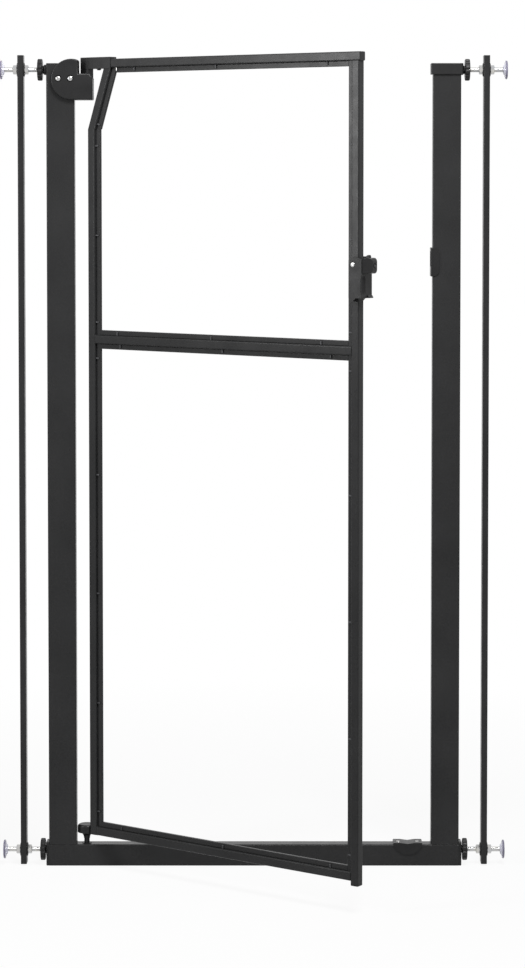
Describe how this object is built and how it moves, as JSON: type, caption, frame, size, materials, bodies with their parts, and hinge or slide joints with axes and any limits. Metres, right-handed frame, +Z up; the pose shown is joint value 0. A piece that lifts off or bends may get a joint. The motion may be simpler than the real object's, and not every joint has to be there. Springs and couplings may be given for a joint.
{
  "type": "safety gate",
  "caption": "Extra-tall pressure-mounted safety gate with a two-way self-closing swing door, sliding latch and adjustable side bars.",
  "frame": {"origin": "on the floor, under the middle of the threshold bar, between its two ends and its front and rear faces", "axes": "+X runs across the opening from the hinge post to the latch post, +Y from the viewer's side to the far side, +Z up"},
  "size_m": [0.83, 0.3667, 1.338],
  "materials": {
    "powder_coat": "fine satin powder coat",
    "black_plastic": "moulded, lightly textured",
    "zinc_steel": "bright zinc plate",
    "dull_steel": "dull, dark phosphate",
    "rubber": "matt",
    "pad_plastic": "translucent, bluish white"
  },
  "bodies": {
    "frame": {"left_post": "powder_coat", "right_post": "powder_coat", "threshold_bar": "powder_coat", "left_end_cap": "black_plastic", "right_end_cap": "black_plastic", "left_post_cap": "powder_coat", "right_post_cap": "black_plastic", "rod_sleeves": "black_plastic", "hinge_cover_front": "black_plastic", "hinge_cover_rear": "black_plastic", "hinge_screws": "zinc_steel", "closer_cartridge": "zinc_steel", "hinge_bush": "black_plastic", "pivot_bush": "black_plastic", "strike_plate": "black_plastic", "lower_catch": "black_plastic", "catch_screws": "zinc_steel"},
    "door": {"hinge_stile": "powder_coat", "slant_tube": "powder_coat", "latch_stile": "powder_coat", "top_rail": "powder_coat", "mid_rail": "powder_coat", "bottom_rail": "powder_coat", "upper_side_strips": "powder_coat", "upper_rail_strips": "powder_coat", "slant_strip": "powder_coat", "lower_side_strips": "powder_coat", "lower_rail_strips": "powder_coat", "upper_clips": "dull_steel", "lower_clips": "dull_steel", "hinge_bracket": "black_plastic", "hinge_spindle": "zinc_steel", "pivot_block": "black_plastic", "pivot_pin": "black_plastic", "top_rail_plug": "black_plastic", "foot_plug": "black_plastic", "latch_housing_front": "black_plastic", "latch_housing_rear": "black_plastic", "latch_screws": "zinc_steel"},
    "bolt": {"latch_bolt": "black_plastic", "thumb_tab": "black_plastic", "bolt_pin": "dull_steel"},
    "left_bar": {"left_side_bar": "powder_coat", "left_bar_plugs": "black_plastic", "left_rods": "zinc_steel", "left_nuts": "zinc_steel", "left_washers": "rubber", "left_pads": "pad_plastic"},
    "right_bar": {"right_side_bar": "powder_coat", "right_bar_plugs": "black_plastic", "right_rods": "zinc_steel", "right_nuts": "zinc_steel", "right_washers": "rubber", "right_pads": "pad_plastic"},
    "left_upper_wheel": {"left_upper_wheel": "black_plastic"},
    "left_lower_wheel": {"left_lower_wheel": "black_plastic"},
    "right_upper_wheel": {"right_upper_wheel": "black_plastic"},
    "right_lower_wheel": {"right_lower_wheel": "black_plastic"}
  },
  "joints": [
    {"name": "door_swing", "type": "hinge", "parent": "frame", "child": "door", "pos_m": [-0.277, 0, 0.69], "axis": [0, 0, -1], "range_deg": [-126.45, 53.55], "stiffness_Nm_per_rad": 1.2, "springref_deg": -36.45},
    {"name": "bolt_slide", "type": "slide", "parent": "door", "child": "bolt", "axis": [-0.8044, 0.5941, 0], "range_m": [0, 0.0095], "stiffness_N_per_m": 400, "springref_m": -0.012},
    {"name": "left_upper_spin", "type": "hinge", "parent": "frame", "child": "left_upper_wheel", "pos_m": [-0.3495, 0, 1.3145], "axis": [1, 0, 0], "range_deg": [-3489, 5793]},
    {"name": "left_lower_spin", "type": "hinge", "parent": "frame", "child": "left_lower_wheel", "pos_m": [-0.3495, 0, 0.0255], "axis": [1, 0, 0], "range_deg": [-3489, 5793]},
    {"name": "left_bar_slide", "type": "slide", "parent": "frame", "child": "left_bar", "axis": [-1, 0, 0], "range_m": [-0.012, 0.02]},
    {"name": "right_upper_spin", "type": "hinge", "parent": "frame", "child": "right_upper_wheel", "pos_m": [0.3495, 0, 1.3145], "axis": [-1, 0, 0], "range_deg": [-3489, 5793]},
    {"name": "right_lower_spin", "type": "hinge", "parent": "frame", "child": "right_lower_wheel", "pos_m": [0.3495, 0, 0.0255], "axis": [-1, 0, 0], "range_deg": [-3489, 5793]},
    {"name": "right_bar_slide", "type": "slide", "parent": "frame", "child": "right_bar", "axis": [1, 0, 0], "range_m": [-0.012, 0.02]}
  ],
  "couplings": [
    {"joint": "left_upper_spin", "follows": "left_bar_slide", "rad_per_m": 5026.5},
    {"joint": "left_lower_spin", "follows": "left_bar_slide", "rad_per_m": 5026.5},
    {"joint": "right_upper_spin", "follows": "right_bar_slide", "rad_per_m": 5026.5},
    {"joint": "right_lower_spin", "follows": "right_bar_slide", "rad_per_m": 5026.5}
  ]
}
